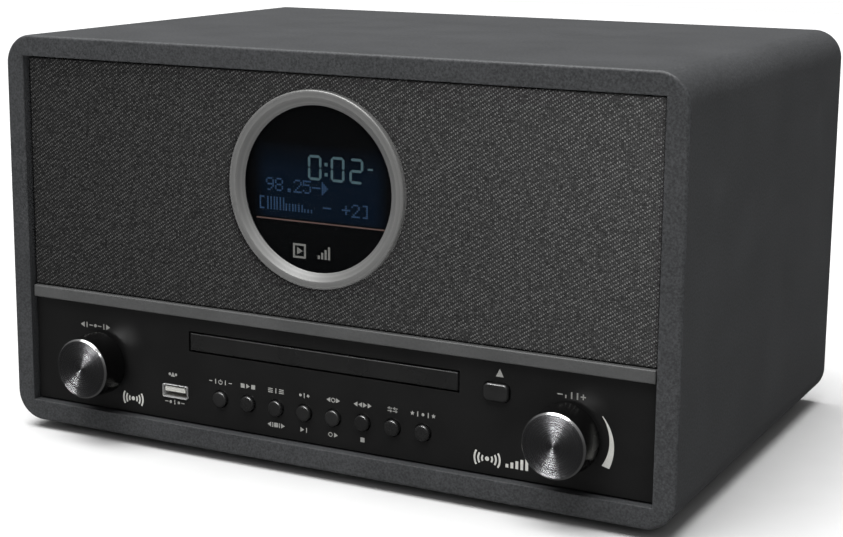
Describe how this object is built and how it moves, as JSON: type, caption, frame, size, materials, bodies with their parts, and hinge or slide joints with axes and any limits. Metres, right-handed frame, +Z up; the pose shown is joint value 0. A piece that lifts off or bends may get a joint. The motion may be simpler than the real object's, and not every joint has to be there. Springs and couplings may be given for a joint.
{
  "type": "tabletop radio",
  "caption": "Tabletop radio with a wrapped wooden cabinet, cloth grille, round display, disc drawer, push buttons and turning knobs.",
  "frame": {"origin": "middle of the underside of the feet's plane, at the centre of the whole object's box", "axes": "+X to the right seen from the front, +Y from the front to the back, +Z up"},
  "size_m": [0.34, 0.2622, 0.193],
  "materials": {
    "cabinet_wrap": "dark anthracite satin wrap on board",
    "rubber": "matt",
    "grille_fabric": "woven acoustic cloth",
    "fibreboard": "raw fibreboard",
    "panel_plastic": "black satin gloss",
    "moulded_plastic": "black moulded",
    "grey_plastic": "mid grey satin",
    "ring_metal": "brushed satin",
    "knob_metal": "dark anodised, spun face",
    "lens_plastic": "clear dark window",
    "display_glass": "blue lit display",
    "steel": "plain",
    "chrome": "polished",
    "circuit": "green board",
    "nylon": "natural",
    "ferrite": "ferrite magnet",
    "cone_paper": "pressed paper with rubber surround"
  },
  "bodies": {
    "radio": {"antenna_base": "chrome", "back_panel": "moulded_plastic", "back_screw_1": "steel", "back_screw_2": "steel", "back_screw_3": "steel", "back_screw_4": "steel", "button_board": "circuit", "cabinet": "cabinet_wrap", "control_panel": "panel_plastic", "display_lens": "lens_plastic", "display_module": "display_glass", "display_ring": "ring_metal", "foot_front_left": "rubber", "foot_front_right": "rubber", "foot_rear_left": "rubber", "foot_rear_right": "rubber", "grille_cloth": "grille_fabric", "grille_frame": "moulded_plastic", "loader_frame": "moulded_plastic", "loading_motor": "steel", "main_board": "circuit", "pickup_rod": "chrome", "power_inlet": "moulded_plastic", "power_supply": "circuit", "speaker_baffle": "fibreboard", "speaker_basket_left": "steel", "speaker_basket_right": "steel", "speaker_magnet_left": "ferrite", "speaker_magnet_right": "ferrite", "spindle_motor": "steel", "trim_strip": "grey_plastic", "tuning_encoder": "moulded_plastic", "usb_socket": "steel", "volume_encoder": "moulded_plastic"},
    "drawer": {"cd_drawer_front": "panel_plastic", "cd_tray": "moulded_plastic"},
    "loading_gear": {"loading_gear": "nylon"},
    "turntable": {"spindle_hub": "moulded_plastic"},
    "clamp": {"disc_clamp": "moulded_plastic"},
    "sled": {"pickup_sled": "moulded_plastic"},
    "eject_button": {"button_eject": "moulded_plastic"},
    "volume": {"volume_knob": "knob_metal", "volume_shaft": "steel"},
    "tuning_push": {"tuning_plunger": "nylon"},
    "tuning": {"tuning_knob": "knob_metal", "tuning_shaft": "steel"},
    "cone_left": {"speaker_cone_left": "cone_paper"},
    "cone_right": {"speaker_cone_right": "cone_paper"},
    "antenna_swivel": {"antenna_knuckle": "chrome"},
    "antenna_outer": {"antenna_outer": "chrome"},
    "antenna_middle": {"antenna_middle": "chrome"},
    "antenna_tip": {"antenna_tip": "chrome"},
    "standby_button": {"button_standby": "moulded_plastic"},
    "mode_button": {"button_mode": "moulded_plastic"},
    "menu_button": {"button_menu": "moulded_plastic"},
    "program_button": {"button_program": "moulded_plastic"},
    "repeat_button": {"button_repeat": "moulded_plastic"},
    "scan_button": {"button_scan": "moulded_plastic"},
    "tone_button": {"button_tone": "moulded_plastic"},
    "preset_button": {"button_preset": "moulded_plastic"}
  },
  "joints": [
    {"name": "drawer_slide", "type": "slide", "parent": "radio", "child": "drawer", "axis": [0, -1, 0], "range_m": [0, 0.128]},
    {"name": "loading_gear_turn", "type": "hinge", "parent": "radio", "child": "loading_gear", "pos_m": [-0.04635, -0.0847, 0.0505], "axis": [0, 0, 1], "range_deg": [0, 612]},
    {"name": "turntable_spin", "type": "hinge", "parent": "radio", "child": "turntable", "pos_m": [0, -0.046, 0.05], "axis": [0, 0, 1], "continuous": true},
    {"name": "clamp_spin", "type": "hinge", "parent": "radio", "child": "clamp", "pos_m": [0, -0.046, 0.06], "axis": [0, 0, 1], "continuous": true},
    {"name": "sled_slide", "type": "slide", "parent": "radio", "child": "sled", "axis": [0, 1, 0], "range_m": [0, 0.03]},
    {"name": "standby_press", "type": "slide", "parent": "radio", "child": "standby_button", "axis": [0, 1, 0], "range_m": [0, 0.0007], "stiffness_N_per_m": 900},
    {"name": "mode_press", "type": "slide", "parent": "radio", "child": "mode_button", "axis": [0, 1, 0], "range_m": [0, 0.0007], "stiffness_N_per_m": 900},
    {"name": "menu_press", "type": "slide", "parent": "radio", "child": "menu_button", "axis": [0, 1, 0], "range_m": [0, 0.0007], "stiffness_N_per_m": 900},
    {"name": "program_press", "type": "slide", "parent": "radio", "child": "program_button", "axis": [0, 1, 0], "range_m": [0, 0.0007], "stiffness_N_per_m": 900},
    {"name": "repeat_press", "type": "slide", "parent": "radio", "child": "repeat_button", "axis": [0, 1, 0], "range_m": [0, 0.0007], "stiffness_N_per_m": 900},
    {"name": "scan_press", "type": "slide", "parent": "radio", "child": "scan_button", "axis": [0, 1, 0], "range_m": [0, 0.0007], "stiffness_N_per_m": 900},
    {"name": "tone_press", "type": "slide", "parent": "radio", "child": "tone_button", "axis": [0, 1, 0], "range_m": [0, 0.0007], "stiffness_N_per_m": 900},
    {"name": "preset_press", "type": "slide", "parent": "radio", "child": "preset_button", "axis": [0, 1, 0], "range_m": [0, 0.0007], "stiffness_N_per_m": 900},
    {"name": "eject_press", "type": "slide", "parent": "radio", "child": "eject_button", "axis": [0, 1, 0], "range_m": [0, 0.0007], "stiffness_N_per_m": 900},
    {"name": "volume_turn", "type": "hinge", "parent": "radio", "child": "volume", "pos_m": [0.1208, -0.1187, 0.0375], "axis": [0, -1, 0], "continuous": true},
    {"name": "tuning_press", "type": "slide", "parent": "radio", "child": "tuning_push", "axis": [0, 1, 0], "range_m": [0, 0.0007], "stiffness_N_per_m": 2500},
    {"name": "tuning_turn", "type": "hinge", "parent": "tuning_push", "child": "tuning", "pos_m": [-0.1208, -0.1187, 0.0375], "axis": [0, -1, 0], "continuous": true},
    {"name": "cone_left_stroke", "type": "slide", "parent": "radio", "child": "cone_left", "axis": [0, -1, 0], "range_m": [-0.0025, 0.0025], "stiffness_N_per_m": 1500},
    {"name": "cone_right_stroke", "type": "slide", "parent": "radio", "child": "cone_right", "axis": [0, -1, 0], "range_m": [-0.0025, 0.0025], "stiffness_N_per_m": 1500},
    {"name": "antenna_turn", "type": "hinge", "parent": "radio", "child": "antenna_swivel", "pos_m": [-0.132, 0.1271, 0.169], "axis": [0, 1, 0], "continuous": true},
    {"name": "antenna_tilt", "type": "hinge", "parent": "antenna_swivel", "child": "antenna_outer", "pos_m": [-0.132, 0.1271, 0.169], "axis": [1, 0, 0], "range_deg": [0, 90]},
    {"name": "antenna_middle_slide", "type": "slide", "parent": "antenna_outer", "child": "antenna_middle", "axis": [0, 0, -1], "range_m": [0, 0.11]},
    {"name": "antenna_tip_slide", "type": "slide", "parent": "antenna_middle", "child": "antenna_tip", "axis": [0, 0, -1], "range_m": [0, 0.11]}
  ],
  "couplings": [
    {"joint": "loading_gear_turn", "follows": "drawer_slide", "rad_per_m": 83.333},
    {"joint": "clamp_spin", "follows": "turntable_spin", "ratio": 1}
  ]
}
